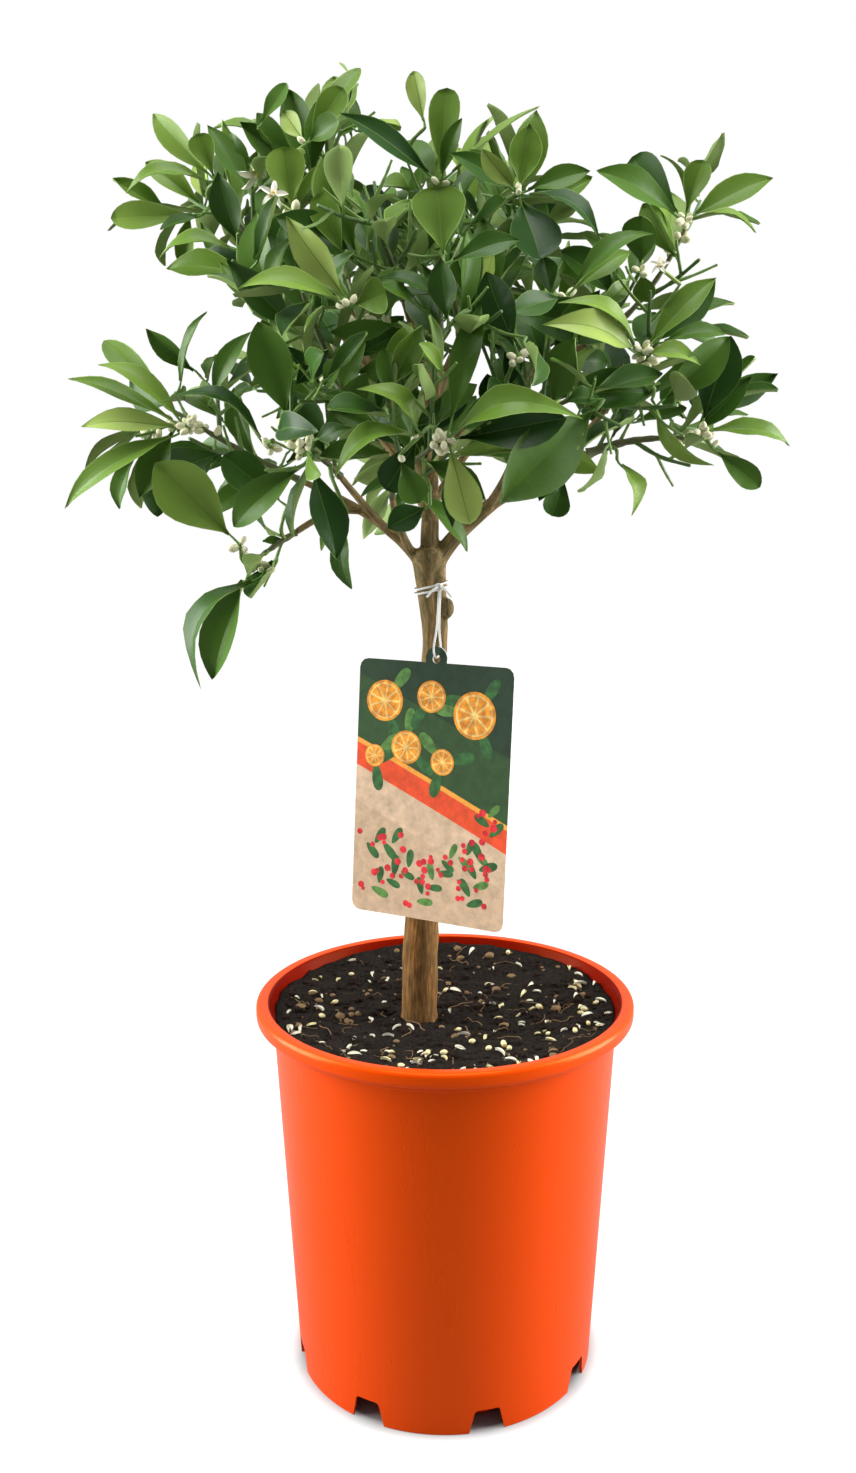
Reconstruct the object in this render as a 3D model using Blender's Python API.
"""A kumquat tree in its nursery pot, at real size: metres, +Z up, pot standing on Z = 0.

The photographed side faces -Y, so +X is to the right and +Y is behind. A short trunk rises from
the soil of a tapered pot to a fork. Boughs lead from the fork into masses of foliage. Each mass
is one piece: a leader, side shoots and leaves that grow by one seeded rule and keep clear of
every limb and of the other masses. A card label hangs from a string tied round the trunk.
"""

import math
import random
from collections import namedtuple

import bmesh
import bpy
from mathutils import Matrix, Vector
from mathutils.bvhtree import BVHTree

GAP = 0.0003

# Pot: a tapered pail with a rolled rim, a notched skirt and a floor that stands on its middle
POT_HEIGHT = 0.2145
RIM_RADIUS = 0.1050
RIM_HEIGHT = 0.0090
RIM_WIDTH = 0.0078
RIM_ROUND = 0.0026
WALL_TOP_RADIUS = 0.0957
WALL_FOOT_RADIUS = 0.0842
WALL_THICKNESS = 0.0018
POT_SIDES = 40
FOOT_DISC_RADIUS = 0.0700
GUTTER_HEIGHT = 0.0145
NOTCH_COUNT = 8
NOTCH_FIRST_ANGLE = math.radians(-29.5)
NOTCH_TOP_WIDTH = 0.0145
NOTCH_FOOT_WIDTH = 0.0200
NOTCH_HEIGHT = 0.0138
NOTCH_REACH = 0.0040

# Soil: it is level where the trunk comes out and banks up to the rim
SOIL_TOP = 0.2010
SOIL_EDGE_RISE = 0.0070
SOIL_BUMP = 0.0016
SOIL_LEVEL_RADIUS = 0.0170
SOIL_RINGS = (0.42, 0.80)
SOIL_EVEN_FROM = 0.95
SOIL_SEED = 5

# Trunk: height, sideways place of the axis, radius
TRUNK_COURSE = (
    (SOIL_TOP + GAP, -0.0145, 0.0104),
    (0.2110, -0.0143, 0.0099),
    (0.2460, -0.0135, 0.0097),
    (0.3250, -0.0095, 0.0081),
    (0.4090, -0.0055, 0.0067),
    (0.4300, -0.0062, 0.0073),
    (0.4480, -0.0078, 0.0083),
    (0.4570, -0.0082, 0.0092),
    (0.4625, -0.0082, 0.0068),
)
TRUNK_SIDES = 12
KNOB_PLACE = (0.0004, -0.0034, 0.4314)
KNOB_RADIUS = 0.0042

# Label: a card that hangs by its top edge, turned and tilted as it hangs
CARD_WIDTH = 0.0920
CARD_HEIGHT = 0.1375
CARD_THICKNESS = 0.0008
CARD_CORNER = 0.0050
CARD_PLACE = (-0.0045, -0.0160, 0.4040)
CARD_TURN = math.radians(-28.6)
CARD_TILT = math.radians(-4.9)
CARD_ROLL = math.radians(2.4)
TAB_RADIUS = 0.0066
TAB_RISE = 0.0020
HOLE_RADIUS = 0.0023
HOLE_SIDES = 10

# String: two turns round the trunk, a knot, and a loop through the hole of the label
STRING_RADIUS = 0.0006
STRING_SIDES = 5
STRING_AXIS = -0.0074
STRING_TURN_HEIGHTS = (0.4430, 0.4406)
STRING_TURN_RADIUS = 0.0089
STRING_TURN_SLOPE = 0.24
STRING_TURN_STEPS = 18
STRING_LOOP_SIDE = 0.0028
STRING_LOOP_TOP_SIDE = 0.0008
STRING_LOOP_NARROWING = 0.6
STRING_LOOP_RISES = (0.005, 0.015)
KNOT_PLACE = (-0.0030, -0.0092, 0.4428)
KNOT_RADIUS = 0.0017

# Limbs and the masses at their ends. A limb leaves its parent at a share of the parent's
# length and runs to its tip, and the leader of its mass goes on from there to the mass's tip.
# Places are x, y, z. The reach is the radius of the space that the mass keeps to.
Mass = namedtuple("Mass", "name parent share limb_tip tip reach shoots thick seed")
MASS_ROWS = (
    ("centre", "trunk", 0.97, (-0.004, 0.004, 0.560), (-0.004, 0.000, 0.641), 0.078, 4, 0.0052, 135),
    ("right_low", "trunk", 0.95, (0.074, 0.003, 0.511), (0.127, 0.000, 0.519), 0.070, 3, 0.0050, 174),
    ("left_low", "trunk", 0.94, (-0.075, -0.010, 0.498), (-0.142, -0.012, 0.535), 0.070, 4, 0.0033, 400),
    ("back_low", "trunk", 0.95, (-0.006, 0.056, 0.496), (-0.004, 0.108, 0.518), 0.074, 4, 0.0040, 758),
    ("left_droop", "left_low", 0.60, (-0.076, -0.022, 0.472), (-0.099, -0.036, 0.456), 0.034, 0, 0.0021, 15),
    ("right_mid", "right_low", 0.72, (0.080, -0.020, 0.532), (0.104, -0.032, 0.564), 0.068, 3, 0.0026, 16),
    ("right_top", "centre", 0.46, (0.072, 0.008, 0.566), (0.123, 0.002, 0.626), 0.070, 3, 0.0030, 178),
    ("left_top", "centre", 0.34, (-0.066, 0.000, 0.586), (-0.120, -0.002, 0.638), 0.074, 4, 0.0030, 18),
    ("crown_left", "left_top", 0.60, (-0.052, 0.028, 0.612), (-0.068, 0.024, 0.660), 0.070, 4, 0.0024, 687),
    ("crown_right", "centre", 0.74, (0.022, 0.024, 0.596), (0.040, 0.022, 0.642), 0.070, 4, 0.0026, 769),
    ("front_left", "centre", 0.22, (-0.042, -0.038, 0.536), (-0.066, -0.066, 0.584), 0.062, 4, 0.0026, 21),
    ("left_inner", "left_low", 0.36, (-0.052, -0.034, 0.500), (-0.080, -0.056, 0.522), 0.060, 3, 0.0024, 403),
    ("front_top", "centre", 0.62, (-0.020, -0.034, 0.584), (-0.034, -0.066, 0.622), 0.072, 4, 0.0024, 22),
    ("front_middle", "centre", 0.44, (0.004, -0.038, 0.546), (0.004, -0.076, 0.580), 0.068, 4, 0.0024, 28),
    ("front_low", "left_low", 0.18, (-0.026, -0.042, 0.490), (0.000, -0.086, 0.517), 0.066, 3, 0.0024, 880),
    ("front_right", "right_low", 0.42, (0.036, -0.034, 0.516), (0.068, -0.062, 0.540), 0.066, 3, 0.0024, 76),
    ("back_left", "back_low", 0.42, (-0.046, 0.058, 0.532), (-0.080, 0.090, 0.572), 0.066, 4, 0.0028, 384),
    ("back_right", "back_low", 0.62, (0.034, 0.062, 0.536), (0.070, 0.090, 0.578), 0.066, 4, 0.0028, 417),
    ("back_top", "centre", 0.62, (-0.010, 0.044, 0.592), (-0.012, 0.086, 0.638), 0.074, 4, 0.0026, 27),
)
MASSES = tuple(Mass(*row) for row in MASS_ROWS)

# The furthest leaf tips of each mass, which give the crown its outline
FURTHEST_TIPS = {
    "centre": ((-0.017, 0.000, 0.697), (0.000, -0.010, 0.686), (-0.048, -0.020, 0.672)),
    "right_low": ((0.177, 0.000, 0.515), (0.159, -0.020, 0.495), (0.097, -0.010, 0.482),
                  (0.177, 0.020, 0.553)),
    "left_low": ((-0.192, -0.010, 0.549), (-0.190, -0.030, 0.484), (-0.178, 0.015, 0.568),
                 (-0.180, -0.030, 0.525), (-0.122, 0.000, 0.583)),
    "back_low": ((0.020, 0.160, 0.524), (-0.030, 0.158, 0.506)),
    "left_droop": ((-0.140, -0.055, 0.509), (-0.123, -0.035, 0.398), (-0.092, -0.030, 0.468)),
    "right_mid": ((0.134, -0.020, 0.596), (0.137, -0.050, 0.565), (0.031, -0.060, 0.578)),
    "right_top": ((0.074, -0.020, 0.647), (0.099, 0.010, 0.659), (0.129, 0.000, 0.655),
                  (0.164, 0.000, 0.647), (0.155, -0.010, 0.619)),
    "left_top": ((-0.169, 0.000, 0.626), (-0.144, 0.000, 0.675), (-0.141, -0.010, 0.605),
                 (-0.152, 0.010, 0.658)),
    "crown_left": ((-0.045, 0.020, 0.699), (-0.080, 0.020, 0.694), (-0.103, 0.010, 0.676)),
    "crown_right": ((0.047, 0.020, 0.684), (0.039, 0.000, 0.674), (0.075, 0.020, 0.653),
                    (0.016, -0.010, 0.658)),
    "front_left": ((-0.098, -0.080, 0.596),),
    "left_inner": ((-0.104, -0.060, 0.478), (-0.050, -0.070, 0.462)),
    "front_top": ((-0.005, -0.070, 0.628), (-0.073, -0.070, 0.618)),
    "front_middle": ((0.015, -0.100, 0.574),),
    "front_low": ((0.054, -0.100, 0.526), (0.011, -0.110, 0.483)),
    "front_right": ((0.025, -0.100, 0.490),),
    "back_left": ((-0.112, 0.124, 0.584), (-0.092, 0.136, 0.600)),
    "back_right": ((0.104, 0.124, 0.588), (0.084, 0.134, 0.606)),
    "back_top": ((-0.030, 0.128, 0.660), (0.016, 0.120, 0.666)),
}
FORK_HEIGHT = 0.4560
LIMB_SIDES = 6
LIMB_STEPS = 4
LIMB_BEND = (0.22, 0.25)
LIMB_TAPER = 0.52
LIMB_THINNEST = 0.0017
LEADER_SIDES = 4
LEADER_STEPS = 4
LEADER_BEND = 0.45
LEADER_TIP_RADIUS = 0.0010
SPACE_SHARE = 0.72

# Side shoots: three-sided twigs that leave the leader by the golden angle
GOLDEN_ANGLE = math.radians(137.5)
SHOOT_SPREAD = math.radians(56)
SHOOT_SHARES = (0.10, 0.82)
SHOOT_LENGTH = (0.034, 0.052)
SHOOT_SHRINK = (1.05, 0.70)
SHOOT_SPREAD_CHANGE = (0.85, 1.15)
SHOOT_RISE = (0.1, 0.5)
SHOOT_RADIUS = (0.0013, 0.0008)
SHOOT_CLEARANCE = (0.0022, 0.0020, 0.0018)
SHOOT_CLEAR_FROM = 0.3
SHOOT_INSET = 0.012
SHOOT_TRIES = 7

# Leaves: blunt ellipses, folded up a little along the midrib. Places on a leaf are shares of its
# length and of its half width.
LEAF_LOW_PLACE = (0.36, 0.92)
LEAF_HIGH_PLACE = (0.78, 0.88)
LEAF_RIB_PLACE = 0.42
LEAF_ARCH_LIFTS = (0.50, 0.60, 0.25, -1.0)
LEAF_ROOT_DRAWN_BACK = 0.12
LEAF_LENGTH = (0.036, 0.056)
LEAF_WIDTH_SHARE = (0.36, 0.46)
LEAF_THICKNESS_SHARE = 0.022
LEAF_SPACING = 0.0175
LEAF_SHARES = (0.22, 0.93)
LEAF_TERMINAL_SHARES = (0.96, 0.99)
LEAF_TRY_TURN = 0.35
LEAF_TRY_SHRINK = 0.035
LEAF_OPENING = (math.radians(72), math.radians(38))
LEAF_LIFT = (-0.12, 0.35)
LEAF_LIFT_CHANGE = 0.15
LEAF_TURN_CHANGE = 0.3
LEAF_OPENING_CHANGE = (0.8, 1.2)
LEAF_FACE_CHANGE = 0.55
LEAF_ARCH = (0.02, 0.12)
LEAF_FOLD = (0.06, 0.16)
LEAF_MARGIN = 0.0005
LEAF_TRIES = 9
REACH_LENGTH = 0.048
REACH_STEPS = 8
REACH_SHARES = (0.22, 0.98)
REACH_BACKWARDS = 0.5
REACH_TRIES_EACH = 2
REACH_TRIES = 16
REACH_ARCH = 0.03
REACH_FOLD = 0.10
SHOWN_SIDE = Vector((0.0, -1.0, 0.30))
SHOWN_CHANGE = 0.30
LIGHT_SIDE = Vector((-0.10, -0.55, 0.62))
LIGHT_OUTWARD = 0.7
CROWN_HEIGHT = 0.24
CROWN_MIDDLE = Vector((-0.0082, 0.0, 0.5280))

# Blossom: clusters of buds, and one open flower, on the twigs nearest to these places
BUD_PLACES = (
    (-0.141, -0.015, 0.524),
    (-0.122, -0.020, 0.515),
    (-0.070, -0.050, 0.512),
    (-0.098, -0.035, 0.460),
    (-0.032, -0.060, 0.563),
    (-0.001, -0.080, 0.515),
    (0.093, -0.030, 0.561),
    (0.115, 0.000, 0.615),
    (0.132, 0.000, 0.522),
    (0.060, 0.060, 0.560),
    (-0.060, 0.070, 0.560),
)
BLOSSOM_SEED = 3
BUDS_TOGETHER = 3
BUD_LENGTH = 0.0075
BUD_RADIUS = 0.0026
BUD_OPENING = (math.radians(35), math.radians(80))
BUD_BELLY = 0.6
BUD_TRIES = 24
BUD_TRIES_EACH = 12
FLOWER_PLACE = (-0.084, -0.030, 0.631)
FLOWER_RADIUS = 0.0100
FLOWER_NOTCH_RADIUS = 0.0040
FLOWER_THICKNESS = 0.0012
FLOWER_PETALS = 5
FLOWER_TRIES = 40
FLOWER_TRIES_EACH = 4

# Colours and roughness of the pieces
ORANGE_PLASTIC = (0.86, 0.10, 0.012)
SOIL_BROWN = (0.018, 0.011, 0.007)
BARK_BROWN = (0.17, 0.115, 0.065)
CARD_ORANGE = (0.72, 0.16, 0.03)
STRING_WHITE = (0.80, 0.80, 0.77)
LEAF_GREENS = ((0.030, 0.105, 0.018), (0.050, 0.150, 0.022), (0.038, 0.120, 0.030))


# Helpers for points and meshes


def mixed(low_high, share):
    """A value between two limits."""
    low, high = low_high
    return low + (high - low) * share


def quadratic_curve(start, handle, end, steps):
    """Points on the quadratic curve from start to end that leaves start towards handle."""
    points = []
    for step in range(steps + 1):
        t = step / steps
        points.append((1 - t) ** 2 * start + 2 * t * (1 - t) * handle + t * t * end)
    return points


def point_along(points, share):
    """The point at a share of a polyline's length, and the direction there."""
    lengths = [(b - a).length for a, b in zip(points, points[1:])]
    left = share * sum(lengths)
    for (a, b), length in zip(zip(points, points[1:]), lengths):
        if left <= length:
            return a.lerp(b, left / length), (b - a).normalized()
        left -= length
    return points[-1].copy(), (points[-1] - points[-2]).normalized()


def tube(points, radii, sides):
    """Corners and faces of a closed tube of rings around the points."""
    corners = []
    side_way = None
    for i, point in enumerate(points):
        before = points[max(i - 1, 0)]
        after = points[min(i + 1, len(points) - 1)]
        along = (after - before).normalized()
        if side_way is None:
            side_way = along.orthogonal().normalized()
        side_way = (side_way - side_way.dot(along) * along).normalized()
        other_way = along.cross(side_way)
        for k in range(sides):
            angle = 2 * math.pi * k / sides
            out = math.cos(angle) * side_way + math.sin(angle) * other_way
            corners.append(point + radii[i] * out)
    faces = [tuple(reversed(range(sides)))]
    for i in range(len(points) - 1):
        for k in range(sides):
            a = i * sides + k
            b = i * sides + (k + 1) % sides
            faces.append((a, b, b + sides, a + sides))
    last = (len(points) - 1) * sides
    faces.append(tuple(range(last, last + sides)))
    return corners, faces


def turned(profile, sides):
    """Corners and faces of a profile of (radius, height) turned about Z, from axis to axis."""
    corners = [Vector((0, 0, profile[0][1]))]
    for radius, height in profile[1:-1]:
        for k in range(sides):
            angle = 2 * math.pi * k / sides
            corners.append(Vector((radius * math.cos(angle), radius * math.sin(angle), height)))
    corners.append(Vector((0, 0, profile[-1][1])))
    rings = len(profile) - 2
    faces = []
    for k in range(sides):
        nxt = (k + 1) % sides
        faces.append((0, 1 + nxt, 1 + k))
        for ring in range(rings - 1):
            low = 1 + ring * sides
            faces.append((low + k, low + nxt, low + sides + nxt, low + sides + k))
        top = 1 + (rings - 1) * sides
        faces.append((top + k, top + nxt, len(corners) - 1))
    return corners, faces


def add_object(name, shape, collection=None):
    """A new mesh object from corners and faces."""
    corners, faces = shape
    mesh = bpy.data.meshes.new(name)
    mesh.from_pydata([tuple(corner) for corner in corners], [], faces)
    mesh.validate()
    piece = bpy.data.objects.new(name, mesh)
    (collection or bpy.context.scene.collection).objects.link(piece)
    return piece


def set_material(piece, name, colour, roughness, specular=0.5):
    """Gives the piece its own Principled material."""
    material = bpy.data.materials.new(name)
    material.use_nodes = True
    shader = material.node_tree.nodes["Principled BSDF"]
    shader.inputs["Base Color"].default_value = (*colour, 1.0)
    shader.inputs["Roughness"].default_value = roughness
    shader.inputs["Specular IOR Level"].default_value = specular
    shader.inputs["Metallic"].default_value = 0.0
    piece.data.materials.clear()
    piece.data.materials.append(material)


def shade_round(piece, sharp_degrees=40):
    """Smooth shading that keeps real edges sharp."""
    piece.data.shade_smooth()
    piece.data.set_sharp_from_angle(angle=math.radians(sharp_degrees))


def cut_away(piece, cutter, name):
    """Takes the cutter's shape out of the piece."""
    cutter.hide_render = True
    cutter.display_type = "WIRE"
    cut = piece.modifiers.new(name, "BOOLEAN")
    cut.operation = "DIFFERENCE"
    cut.solver = "EXACT"
    cut.object = cutter


def applied(piece):
    """Makes the piece's evaluated shape its own mesh."""
    bpy.context.view_layer.update()
    graph = bpy.context.evaluated_depsgraph_get()
    mesh = bpy.data.meshes.new_from_object(piece.evaluated_get(graph))
    piece.modifiers.clear()
    old = piece.data
    piece.data = mesh
    bpy.data.meshes.remove(old)


def fuse(piece, shapes):
    """Joins the shapes to the piece by one union on a collection, then drops loose scraps."""
    helpers = bpy.data.collections.new(piece.name + " shapes")
    bpy.context.scene.collection.children.link(helpers)
    for i, shape in enumerate(shapes):
        add_object(f"{piece.name} shape {i}", shape, helpers)
    union = piece.modifiers.new("Fuse", "BOOLEAN")
    union.operation = "UNION"
    union.solver = "EXACT"
    union.operand_type = "COLLECTION"
    union.collection = helpers
    applied(piece)
    for helper in list(helpers.objects):
        mesh = helper.data
        bpy.data.objects.remove(helper)
        bpy.data.meshes.remove(mesh)
    bpy.data.collections.remove(helpers)
    drop_scraps(piece)


def drop_scraps(piece):
    """Keeps only the largest connected part of the piece's mesh."""
    shell = bmesh.new()
    shell.from_mesh(piece.data)
    unseen = set(shell.verts)
    parts = []
    while unseen:
        todo = [unseen.pop()]
        part = set(todo)
        while todo:
            corner = todo.pop()
            for edge in corner.link_edges:
                other = edge.other_vert(corner)
                if other in unseen:
                    unseen.remove(other)
                    part.add(other)
                    todo.append(other)
        parts.append(part)
    keep = max(parts, key=len)
    bmesh.ops.delete(shell, geom=[v for v in shell.verts if v not in keep], context="VERTS")
    shell.to_mesh(piece.data)
    shell.free()


# The growth rule: limbs, then shoots, then leaves


def limb_courses():
    """Centreline points and radii of the trunk and of each limb, by name."""
    trunk_points = [Vector((x, 0.0, z)) for z, x, radius in TRUNK_COURSE]
    courses = {"trunk": (trunk_points, [radius for z, x, radius in TRUNK_COURSE])}
    for mass in MASSES:
        points, radii = courses[mass.parent]
        start, along = point_along(points, mass.share)
        tip = Vector(mass.limb_tip)
        bend, lead = LIMB_BEND
        handle = start + bend * (tip - start).length * along + lead * (tip - start)
        course = quadratic_curve(start, handle, tip, LIMB_STEPS)
        thin = max(LIMB_TAPER * mass.thick, LIMB_THINNEST)
        widths = [mass.thick + (thin - mass.thick) * i / LIMB_STEPS for i in range(LIMB_STEPS + 1)]
        courses[mass.name] = (course, widths)
    return courses


def leader_course(mass, courses):
    """The course of a mass's leader, which starts a gap beyond the tip of its limb."""
    points, radii = courses[mass.name]
    along = (points[-1] - points[-2]).normalized()
    start = points[-1] + GAP * along
    tip = Vector(mass.tip)
    handle = start + along * (tip - start).length * LEADER_BEND
    course = quadratic_curve(start, handle, tip, LEADER_STEPS)
    widths = [mixed((radii[-1], LEADER_TIP_RADIUS), i / LEADER_STEPS) for i in range(LEADER_STEPS + 1)]
    return course, widths


def shoot_course(leader, share, turn, spread, length, rise):
    """A side shoot that leaves the leader at a share of its length and bends upwards."""
    start, along = point_along(leader, share)
    side_way = along.orthogonal().normalized()
    out = Matrix.Rotation(turn, 3, along) @ side_way
    way = (math.cos(spread) * along + math.sin(spread) * out).normalized()
    handle = start + way * length * 0.5
    end = handle + (way + Vector((0, 0, rise))).normalized() * length * 0.5
    return quadratic_curve(start, handle, end, 2)


Leaf = namedtuple("Leaf", "base way side face length width arch fold")


def leaf_corners(leaf, margin=0.0):
    """Corners of a leaf: its root, five points of the outline, and the midrib's two sides."""
    half = leaf.width / 2 + margin
    length = leaf.length + margin
    thick = LEAF_THICKNESS_SHARE * leaf.length / 2 + margin
    low_lift, rib_lift, high_lift, tip_lift = [share * leaf.arch for share in LEAF_ARCH_LIFTS]
    low, low_half = LEAF_LOW_PLACE
    high, high_half = LEAF_HIGH_PLACE
    rib = rib_lift - leaf.fold

    def at(along, across, lift):
        return leaf.base + along * leaf.way + across * leaf.side + lift * leaf.face

    return [
        at(0, 0, 0),
        at(length * low, half * low_half, low_lift),
        at(length * high, half * high_half, high_lift),
        at(length, 0, tip_lift),
        at(length * high, -half * high_half, high_lift),
        at(length * low, -half * low_half, low_lift),
        at(length * LEAF_RIB_PLACE, 0, rib + thick),
        at(length * LEAF_RIB_PLACE, 0, rib - thick),
    ]


LEAF_FACES = [(k, 6, (k + 1) % 6) for k in range(6)] + [((k + 1) % 6, 7, k) for k in range(6)]


class Room:
    """What is already there: closed shapes that a new twig or leaf must not touch."""

    def __init__(self):
        self.shapes = []

    def add(self, corners, faces, owner=None):
        middle = sum(corners, Vector()) / len(corners)
        radius = max((corner - middle).length for corner in corners)
        self.shapes.append((BVHTree.FromPolygons(corners, faces), middle, radius, owner))

    def is_free(self, corners, faces, own=None):
        """Whether a shape crosses nothing but what its own shoot put there."""
        tree = BVHTree.FromPolygons(corners, faces)
        middle = sum(corners, Vector()) / len(corners)
        radius = max((corner - middle).length for corner in corners)
        for other, place, size, owner in self.shapes:
            if own is not None and owner == own:
                continue
            if (middle - place).length < radius + size and tree.overlap(other):
                return False
        return True


def space_middle(mass):
    """The middle of the space that a mass keeps to."""
    return Vector(mass.limb_tip).lerp(Vector(mass.tip), SPACE_SHARE)


def grow_shoots(mass, courses, room, rng):
    """The leader and the side shoots of a mass, as courses with their radii."""
    leader, widths = leader_course(mass, courses)
    shoots = [(leader, widths)]
    middle = space_middle(mass)
    turn = rng.uniform(0, 2 * math.pi)
    for i in range(mass.shoots):
        share = mixed(SHOOT_SHARES, i / max(mass.shoots - 1, 1))
        length = rng.uniform(*SHOOT_LENGTH) * mixed(SHOOT_SHRINK, share)
        for attempt in range(SHOOT_TRIES):
            turn += GOLDEN_ANGLE
            spread = SHOOT_SPREAD * rng.uniform(*SHOOT_SPREAD_CHANGE)
            course = shoot_course(leader, share, turn, spread, length, rng.uniform(*SHOOT_RISE))
            inside = (course[-1] - middle).length < mass.reach - SHOOT_INSET
            ahead = course[0].lerp(course[1], SHOOT_CLEAR_FROM)
            shape = tube([ahead] + course[1:], SHOOT_CLEARANCE, 3)
            if inside and room.is_free(*shape):
                shoots.append((course, [mixed(SHOOT_RADIUS, k / 2) for k in range(3)]))
                break
    for number, (course, widths) in enumerate(shoots):
        room.add(*tube(course, [width + GAP for width in widths], 5), (mass.name, number))
    return shoots


def faced(way, towards, change, rng):
    """A leaf's upper side: across its way, and turned roughly towards a direction."""
    towards = towards + Vector([rng.uniform(-change, change) for axis in range(3)])
    return (towards - towards.dot(way) * way).normalized()


def leaf_at(course, share, turn, shrink, rng):
    """A leaf that springs from a shoot, turned by the phyllotaxis."""
    base, along = point_along(course, share)
    side_way = along.orthogonal().normalized()
    turn += rng.uniform(-LEAF_TURN_CHANGE, LEAF_TURN_CHANGE)
    out = Matrix.Rotation(turn, 3, along) @ side_way
    opening = mixed(LEAF_OPENING, share) * rng.uniform(*LEAF_OPENING_CHANGE)
    way = math.cos(opening) * along + math.sin(opening) * out
    height = (base.z - FORK_HEIGHT) / CROWN_HEIGHT
    way.z += mixed(LEAF_LIFT, height) + rng.uniform(-LEAF_LIFT_CHANGE, LEAF_LIFT_CHANGE)
    way.normalize()
    away = base - CROWN_MIDDLE
    face = faced(way, LIGHT_SIDE + LIGHT_OUTWARD * away.normalized(), LEAF_FACE_CHANGE, rng)
    length = rng.uniform(*LEAF_LENGTH) * shrink
    width = length * rng.uniform(*LEAF_WIDTH_SHARE)
    arch = length * rng.uniform(*LEAF_ARCH)
    fold = width * rng.uniform(*LEAF_FOLD)
    return Leaf(base, way, face.cross(way), face, length, width, arch, fold)


def leaf_to(base, tip, rng):
    """A leaf from a spot on a shoot to a given place of its tip."""
    way = (tip - base).normalized()
    face = faced(way, SHOWN_SIDE, SHOWN_CHANGE, rng)
    length = (tip - base).length
    width = min(length, LEAF_LENGTH[1]) * rng.uniform(*LEAF_WIDTH_SHARE)
    return Leaf(base, way, face.cross(way), face, length, width, REACH_ARCH * length, REACH_FOLD * width)


def leaf_space(leaf):
    """The leaf with a margin round it, drawn back from its root."""
    corners = leaf_corners(leaf, LEAF_MARGIN)
    corners[0] = corners[0].lerp(corners[6], LEAF_ROOT_DRAWN_BACK)
    return corners, LEAF_FACES


def keep_leaf(leaf, leaves, room):
    leaves.append(leaf)
    room.add(*leaf_space(leaf))


def reach_tips(mass, shoots, leaves, room, rng):
    """The leaves that reach the mass's furthest tips, each from the spot that suits it best."""
    for place in FURTHEST_TIPS[mass.name]:
        tip = Vector(place)
        choices = []
        for number, (course, widths) in enumerate(shoots):
            for step in range(REACH_STEPS + 1):
                base, along = point_along(course, mixed(REACH_SHARES, step / REACH_STEPS))
                stretch = abs((tip - base).length - REACH_LENGTH) / REACH_LENGTH
                turn_back = max(0.0, REACH_BACKWARDS - (tip - base).normalized().dot(along))
                choices.append((stretch + turn_back, number, base))
        choices.sort(key=lambda choice: choice[0])
        for attempt in range(REACH_TRIES):
            fit, number, base = choices[attempt // REACH_TRIES_EACH]
            leaf = leaf_to(base, tip, rng)
            if room.is_free(*leaf_space(leaf), (mass.name, number)):
                keep_leaf(leaf, leaves, room)
                break


def grow_leaves(mass, shoots, leaves, room, rng):
    """The leaves along the shoots: each that stays in the mass's space and has room is kept."""
    middle = space_middle(mass)
    for number, (course, widths) in enumerate(shoots):
        length = sum((b - a).length for a, b in zip(course, course[1:]))
        count = max(2, round(length * (1 - LEAF_SHARES[0]) / LEAF_SPACING))
        turn = rng.uniform(0, 2 * math.pi)
        shares = [mixed(LEAF_SHARES, k / count) for k in range(count)]
        for share in [*shares, *LEAF_TERMINAL_SHARES]:
            turn += GOLDEN_ANGLE
            for attempt in range(LEAF_TRIES):
                wobble = turn + LEAF_TRY_TURN * attempt * (-1) ** attempt
                leaf = leaf_at(course, share, wobble, 1 - LEAF_TRY_SHRINK * attempt, rng)
                inside = all((c - middle).length < mass.reach for c in leaf_corners(leaf))
                if inside and room.is_free(*leaf_space(leaf), (mass.name, number)):
                    keep_leaf(leaf, leaves, room)
                    break


def bud_shape(base, way):
    """A bud: a pointed drop whose root is on the twig."""
    side = way.orthogonal().normalized() * BUD_RADIUS
    other = way.cross(side)
    belly = base + BUD_BELLY * BUD_LENGTH * way
    corners = [base, belly + side, belly + other, belly - side, belly - other, base + BUD_LENGTH * way]
    faces = []
    for k in range(4):
        faces.append((0, 1 + (k + 1) % 4, 1 + k))
        faces.append((5, 1 + k, 1 + (k + 1) % 4))
    return corners, faces


def flower_shape(base, way):
    """An open flower: a star of petals that lies back on the twig, with a point at each side."""
    side = way.orthogonal().normalized()
    other = way.cross(side)
    corners = [base, base + (2 * FLOWER_THICKNESS + BUD_RADIUS) * way]
    for k in range(2 * FLOWER_PETALS):
        angle = math.pi * k / FLOWER_PETALS
        radius = FLOWER_NOTCH_RADIUS if k % 2 else FLOWER_RADIUS
        out = math.cos(angle) * side + math.sin(angle) * other
        corners.append(base + radius * out + (BUD_RADIUS + FLOWER_THICKNESS) * way)
    faces = []
    for k in range(2 * FLOWER_PETALS):
        here = 2 + k
        there = 2 + (k + 1) % (2 * FLOWER_PETALS)
        faces.append((0, there, here))
        faces.append((1, here, there))
    return corners, faces


def spots_near(place, crown):
    """Spots on all the side shoots and leaders, the nearest to the place first."""
    spots = []
    for name, (shoots, leaves, blossom) in crown.items():
        for number, (course, widths) in enumerate(shoots):
            for step in range(REACH_STEPS + 1):
                base, along = point_along(course, mixed(REACH_SHARES, step / REACH_STEPS))
                spots.append(((base - place).length, name, number, base, along))
    spots.sort(key=lambda spot: spot[0])
    return spots


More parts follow.
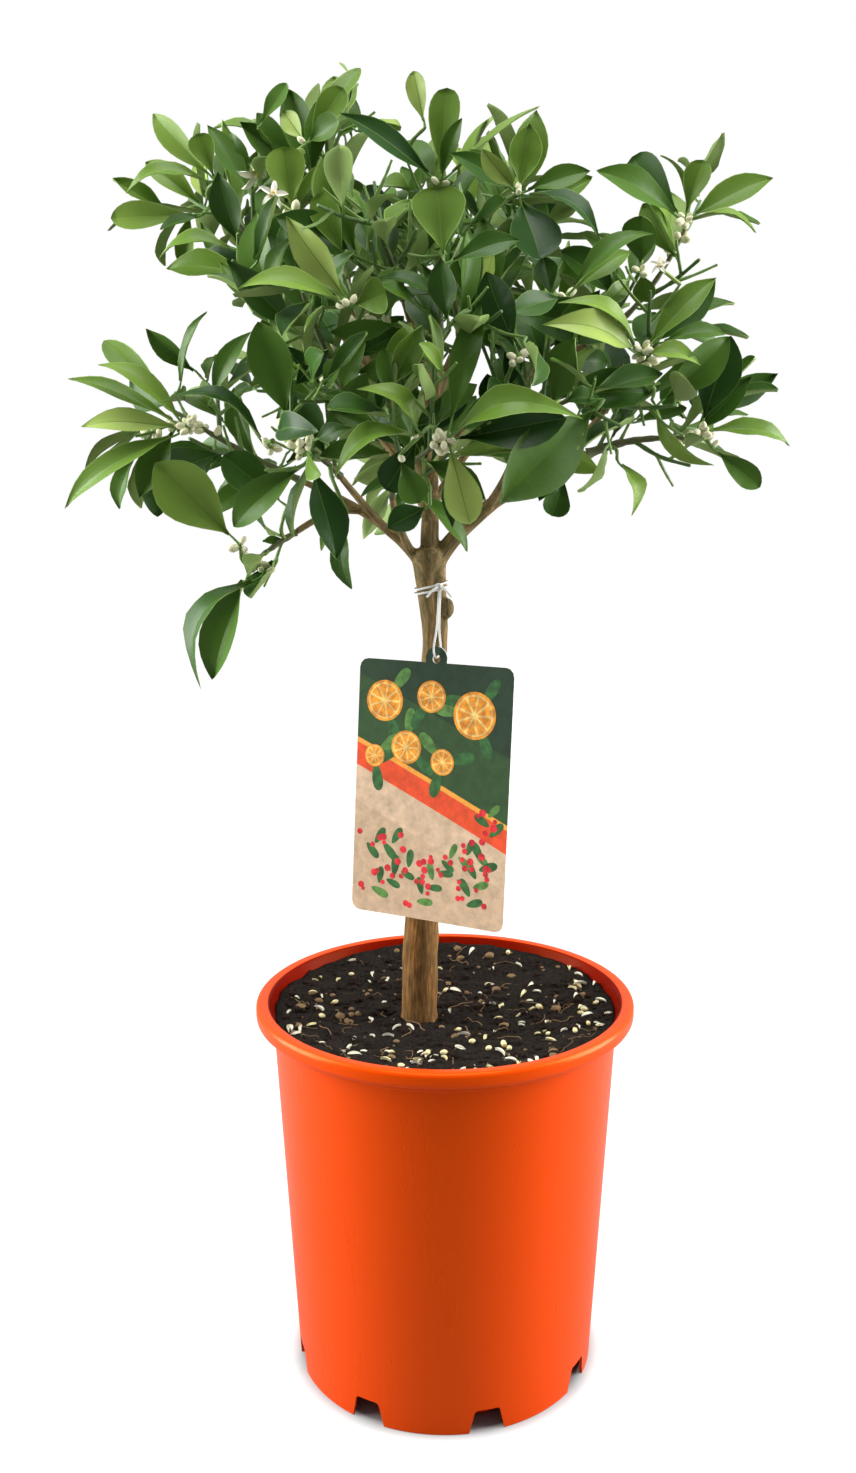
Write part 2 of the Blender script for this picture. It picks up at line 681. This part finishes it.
def grow_blossom(crown, room, rng):
    """Adds each cluster of buds, and the open flower, to the mass whose twig bears it."""
    for place in BUD_PLACES:
        spots = spots_near(Vector(place), crown)
        placed = 0
        for attempt in range(BUD_TRIES):
            distance, name, number, base, along = spots[attempt // BUD_TRIES_EACH]
            out = Matrix.Rotation(GOLDEN_ANGLE * attempt, 3, along) @ along.orthogonal().normalized()
            opening = rng.uniform(*BUD_OPENING)
            way = math.cos(opening) * along + math.sin(opening) * out
            shape = bud_shape(base, way)
            if placed < BUDS_TOGETHER and room.is_free(*shape, (name, number)):
                crown[name][2].append(shape)
                room.add(*shape)
                placed += 1
    spots = spots_near(Vector(FLOWER_PLACE), crown)
    for attempt in range(FLOWER_TRIES):
        distance, name, number, base, along = spots[attempt // FLOWER_TRIES_EACH]
        way = SHOWN_SIDE + Vector([rng.uniform(-1, 1) for axis in range(3)])
        shape = flower_shape(base, way.normalized())
        if room.is_free(*shape, (name, number)):
            crown[name][2].append(shape)
            room.add(*shape)
            break


def grow_crown():
    """Courses of all limbs, and for each mass its shoots, its leaves and its blossom."""
    courses = limb_courses()
    room = Room()
    for points, radii in courses.values():
        room.add(*tube(points, [radius + 2 * GAP for radius in radii], 8))
    draws = {mass.name: random.Random(mass.seed) for mass in MASSES}
    crown = {}
    for mass in MASSES:
        crown[mass.name] = (grow_shoots(mass, courses, room, draws[mass.name]), [], [])
    for mass in MASSES:
        shoots, leaves, blossom = crown[mass.name]
        reach_tips(mass, shoots, leaves, room, draws[mass.name])
    for mass in MASSES:
        shoots, leaves, blossom = crown[mass.name]
        grow_leaves(mass, shoots, leaves, room, draws[mass.name])
    grow_blossom(crown, room, random.Random(BLOSSOM_SEED))
    return courses, crown


# Pot and soil


def wall_radius(height):
    """Outer radius of the pot's wall at a height."""
    share = height / (POT_HEIGHT - RIM_HEIGHT)
    return mixed((WALL_FOOT_RADIUS, WALL_TOP_RADIUS), share)


def rim_profile():
    """The rolled rim, from its underside round the outside to its inner edge."""
    foot = POT_HEIGHT - RIM_HEIGHT
    outer = RIM_RADIUS - RIM_ROUND
    inner = RIM_RADIUS - RIM_WIDTH + RIM_ROUND
    points = [(wall_radius(foot), foot)]
    for degrees in (-90, -45, 0):
        angle = math.radians(degrees)
        points.append((outer + RIM_ROUND * math.cos(angle), foot + RIM_ROUND * (1 + math.sin(angle))))
    for degrees in (0, 45, 90):
        angle = math.radians(degrees)
        lift = POT_HEIGHT - RIM_ROUND + RIM_ROUND * math.sin(angle)
        points.append((outer + RIM_ROUND * math.cos(angle), lift))
    for degrees in (90, 135):
        angle = math.radians(degrees)
        lift = POT_HEIGHT - RIM_ROUND + RIM_ROUND * math.sin(angle)
        points.append((inner + RIM_ROUND * math.cos(angle), lift))
    return points


def make_pot():
    """The pot: wall, rim, stepped floor, and a skirt cut by drainage notches."""
    inner_foot = wall_radius(GUTTER_HEIGHT) - WALL_THICKNESS
    floor = GUTTER_HEIGHT + WALL_THICKNESS
    inner_rim = POT_HEIGHT - RIM_HEIGHT
    profile = [
        (0, 0),
        (FOOT_DISC_RADIUS, 0),
        (FOOT_DISC_RADIUS + 0.001, GUTTER_HEIGHT),
        (inner_foot, GUTTER_HEIGHT),
        (WALL_FOOT_RADIUS - WALL_THICKNESS, 0),
        (WALL_FOOT_RADIUS, 0),
    ]
    profile += rim_profile()
    profile += [
        (wall_radius(inner_rim) - WALL_THICKNESS, inner_rim),
        (wall_radius(floor) - WALL_THICKNESS, floor),
        (FOOT_DISC_RADIUS - WALL_THICKNESS, floor),
        (FOOT_DISC_RADIUS - WALL_THICKNESS - 0.001, WALL_THICKNESS),
        (0, WALL_THICKNESS),
    ]
    pot = add_object("pot", turned(profile, POT_SIDES))
    cut_away(pot, make_notches(), "Drainage notches")
    set_material(pot, "Orange plastic", ORANGE_PLASTIC, 0.28)
    shade_round(pot, 30)
    return pot


def make_notches():
    """One cutter that holds a wedge for each notch in the skirt."""
    inner = FOOT_DISC_RADIUS + NOTCH_REACH
    outer = WALL_FOOT_RADIUS + NOTCH_REACH
    corners = []
    faces = []
    for k in range(NOTCH_COUNT):
        turn = Matrix.Rotation(NOTCH_FIRST_ANGLE + 2 * math.pi * k / NOTCH_COUNT, 3, "Z")
        first = len(corners)
        for depth in (inner, outer):
            for height, width in ((-NOTCH_REACH / 2, NOTCH_FOOT_WIDTH), (NOTCH_HEIGHT, NOTCH_TOP_WIDTH)):
                for side in (-1, 1):
                    corners.append(turn @ Vector((side * width / 2, -depth, height)))
        for face in ((0, 1, 3, 2), (4, 6, 7, 5), (0, 4, 5, 1), (2, 3, 7, 6), (0, 2, 6, 4), (1, 5, 7, 3)):
            faces.append(tuple(first + corner for corner in reversed(face)))
    return add_object("notch_cutter", (corners, faces))


def make_soil():
    """The soil: it follows the inside of the pot a gap away, and its top is uneven."""
    rng = random.Random(SOIL_SEED)
    shrink = math.cos(math.pi / POT_SIDES)
    floor = GUTTER_HEIGHT + WALL_THICKNESS + GAP
    side = wall_radius(floor) - WALL_THICKNESS
    rim_foot = POT_HEIGHT - RIM_HEIGHT
    top = wall_radius(rim_foot) - WALL_THICKNESS
    foot = FOOT_DISC_RADIUS - WALL_THICKNESS - 0.001
    profile = [
        (0, WALL_THICKNESS + GAP),
        (foot * shrink - 2 * GAP, WALL_THICKNESS + GAP),
        ((foot + 0.001) * shrink - 2 * GAP, floor),
        (side * shrink - GAP, floor),
        (top * shrink - GAP, rim_foot),
        (top * shrink - GAP, SOIL_TOP + SOIL_EDGE_RISE),
    ]
    for share in reversed(SOIL_RINGS):
        profile.append((mixed((SOIL_LEVEL_RADIUS, top), share), SOIL_TOP + SOIL_EDGE_RISE * share ** 2))
    profile += [(SOIL_LEVEL_RADIUS, SOIL_TOP), (0, SOIL_TOP)]
    corners, faces = turned(profile, POT_SIDES)
    foot_x = TRUNK_COURSE[0][1]
    for corner in corners:
        if corner.z < SOIL_TOP - 1e-6:
            continue
        share = max(0.0, (corner.xy.length - SOIL_LEVEL_RADIUS) / (top - SOIL_LEVEL_RADIUS))
        if 1e-4 < share < SOIL_EVEN_FROM:
            corner.z += rng.uniform(-1, 1) * SOIL_BUMP
        corner.x += foot_x * (1 - share) if share < SOIL_EVEN_FROM else 0.0
    soil = add_object("soil", (corners, faces))
    set_material(soil, "Potting soil", SOIL_BROWN, 0.95)
    return soil


# Trunk and boughs


def make_limbs(courses):
    """The trunk and the boughs. Each bough is cut clear of the limbs made before it."""
    made = []
    for name, (points, radii) in courses.items():
        sides = TRUNK_SIDES if name == "trunk" else LIMB_SIDES
        node = name if name == "trunk" else "bough_" + name
        shape = tube(points, radii, sides)
        limb = add_object(node, shape)
        if name == "trunk":
            fuse(limb, [knob_shape()])
        tree = BVHTree.FromPolygons(*shape)
        for other_name, other_shape, other_tree in made:
            if tree.overlap(other_tree):
                cutter = add_object(f"{node} clear of {other_name}", other_shape)
                cut_away(limb, cutter, "Clear of " + other_name)
        applied(limb)
        drop_scraps(limb)
        wide = tube(points, [r + GAP for r in radii], sides)
        made.append((name, wide, BVHTree.FromPolygons(*wide)))
        set_material(limb, "Bark " + name, BARK_BROWN, 0.85)
        shade_round(limb, 50)


def knob_shape():
    """A rounded knob where a side branch was cut off the trunk."""
    ball = bmesh.new()
    bmesh.ops.create_icosphere(ball, subdivisions=1, radius=KNOB_RADIUS)
    place = Vector(KNOB_PLACE)
    corners = [vert.co + place for vert in ball.verts]
    faces = [tuple(vert.index for vert in face.verts) for face in ball.faces]
    ball.free()
    return corners, faces


# Foliage


def make_masses(crown):
    """One fused piece for each mass: leader, side shoots, leaves and blossom."""
    for number, mass in enumerate(MASSES):
        shoots, leaves, blossom = crown[mass.name]
        leader = add_object("foliage_" + mass.name, tube(*shoots[0], LEADER_SIDES))
        shapes = [tube(course, radii, 3) for course, radii in shoots[1:]]
        shapes += [(leaf_corners(leaf), LEAF_FACES) for leaf in leaves]
        fuse(leader, shapes + blossom)
        green = LEAF_GREENS[number % len(LEAF_GREENS)]
        set_material(leader, "Leaves " + mass.name, green, 0.40)


# Label and its string


def card_matrix():
    """Turns and places the card, whose own origin is the middle of its top edge."""
    turn = Matrix.Rotation(CARD_ROLL, 4, "Y") @ Matrix.Rotation(CARD_TILT, 4, "X")
    return Matrix.Translation(CARD_PLACE) @ turn @ Matrix.Rotation(CARD_TURN, 4, "Z")


def card_outline():
    """The card's outline: rounded corners, and a rounded tab for the hole at the top."""
    half = CARD_WIDTH / 2
    points = []

    def arc(x, z, radius, first, last, steps):
        for step in range(steps + 1):
            angle = math.radians(first + (last - first) * step / steps)
            points.append((x + radius * math.cos(angle), z + radius * math.sin(angle)))

    arc(half - CARD_CORNER, -CARD_CORNER, CARD_CORNER, 0, 90, 3)
    lean = math.degrees(math.asin(TAB_RISE / TAB_RADIUS))
    arc(0, TAB_RISE, TAB_RADIUS, -lean, 180 + lean, 8)
    arc(-half + CARD_CORNER, -CARD_CORNER, CARD_CORNER, 90, 180, 3)
    arc(-half + CARD_CORNER, -CARD_HEIGHT + CARD_CORNER, CARD_CORNER, 180, 270, 3)
    arc(half - CARD_CORNER, -CARD_HEIGHT + CARD_CORNER, CARD_CORNER, 270, 360, 3)
    return points


def make_label():
    """The card label, with a round hole in its tab."""
    outline = card_outline()
    half = CARD_THICKNESS / 2
    front = [Vector((x, -half, z)) for x, z in outline]
    back = [Vector((x, half, z)) for x, z in outline]
    count = len(outline)
    faces = [tuple(range(count)), tuple(reversed(range(count, 2 * count)))]
    for k in range(count):
        nxt = (k + 1) % count
        faces.append((k, k + count, nxt + count, nxt))
    label = add_object("label", (front + back, faces))
    ends = [Vector((0, -HOLE_RADIUS, TAB_RISE)), Vector((0, HOLE_RADIUS, TAB_RISE))]
    bore = tube(ends, [HOLE_RADIUS] * 2, HOLE_SIDES)
    hole = add_object("label_hole_cutter", bore)
    label.matrix_world = card_matrix()
    hole.matrix_world = card_matrix()
    cut_away(label, hole, "Hole")
    set_material(label, "Printed card", CARD_ORANGE, 0.35)
    return label


def make_string():
    """The white string: two turns, a knot, and the loop that carries the label."""
    axis = Vector((STRING_AXIS, 0, 0))
    knot = Vector(KNOT_PLACE)
    shapes = []
    for height in STRING_TURN_HEIGHTS:
        shapes.append(string_turn(axis, height))
    place = card_matrix()
    bearing = TAB_RISE + HOLE_RADIUS * math.cos(math.pi / HOLE_SIDES) - STRING_RADIUS - GAP
    near = STRING_LOOP_SIDE * STRING_LOOP_NARROWING
    loop = [
        knot,
        place @ Vector((-0.0002, -STRING_LOOP_TOP_SIDE, bearing + STRING_LOOP_RISES[1])),
        place @ Vector((-0.0004, -STRING_LOOP_SIDE, bearing + STRING_LOOP_RISES[0])),
        place @ Vector((0, -near, bearing)),
        place @ Vector((0, near, bearing)),
        place @ Vector((0.0006, STRING_LOOP_SIDE, bearing + STRING_LOOP_RISES[0])),
        place @ Vector((0.0004, STRING_LOOP_TOP_SIDE, bearing + STRING_LOOP_RISES[1])),
        knot + Vector((0.0006, 0.0004, 0)),
    ]
    string = add_object("label_string", tube(loop, [STRING_RADIUS] * len(loop), STRING_SIDES))
    ball = bmesh.new()
    bmesh.ops.create_icosphere(ball, subdivisions=1, radius=KNOT_RADIUS)
    corners = [vert.co + knot for vert in ball.verts]
    shapes.append((corners, [tuple(vert.index for vert in face.verts) for face in ball.faces]))
    ball.free()
    fuse(string, shapes)
    set_material(string, "White string", STRING_WHITE, 0.8)
    shade_round(string, 60)
    return string


def string_turn(axis, height):
    """One closed turn of the string round the trunk."""
    corners = []
    for step in range(STRING_TURN_STEPS):
        angle = 2 * math.pi * step / STRING_TURN_STEPS
        out = Vector((math.cos(angle), math.sin(angle), 0))
        middle = axis + STRING_TURN_RADIUS * out
        middle.z = height + STRING_TURN_SLOPE * STRING_TURN_RADIUS * math.cos(angle)
        for k in range(STRING_SIDES):
            roll = 2 * math.pi * k / STRING_SIDES
            lift = Vector((0, 0, math.sin(roll)))
            corners.append(middle + STRING_RADIUS * (math.cos(roll) * out + lift))
    faces = []
    for step in range(STRING_TURN_STEPS):
        here = step * STRING_SIDES
        there = (step + 1) % STRING_TURN_STEPS * STRING_SIDES
        for k in range(STRING_SIDES):
            nxt = (k + 1) % STRING_SIDES
            faces.append((here + k, here + nxt, there + nxt, there + k)[::-1])
    return corners, faces


def main():
    for old in list(bpy.data.objects):
        bpy.data.objects.remove(old)
    courses, crown = grow_crown()
    make_pot()
    make_soil()
    make_limbs(courses)
    make_masses(crown)
    make_label()
    make_string()


if __name__ == "__main__":
    main()
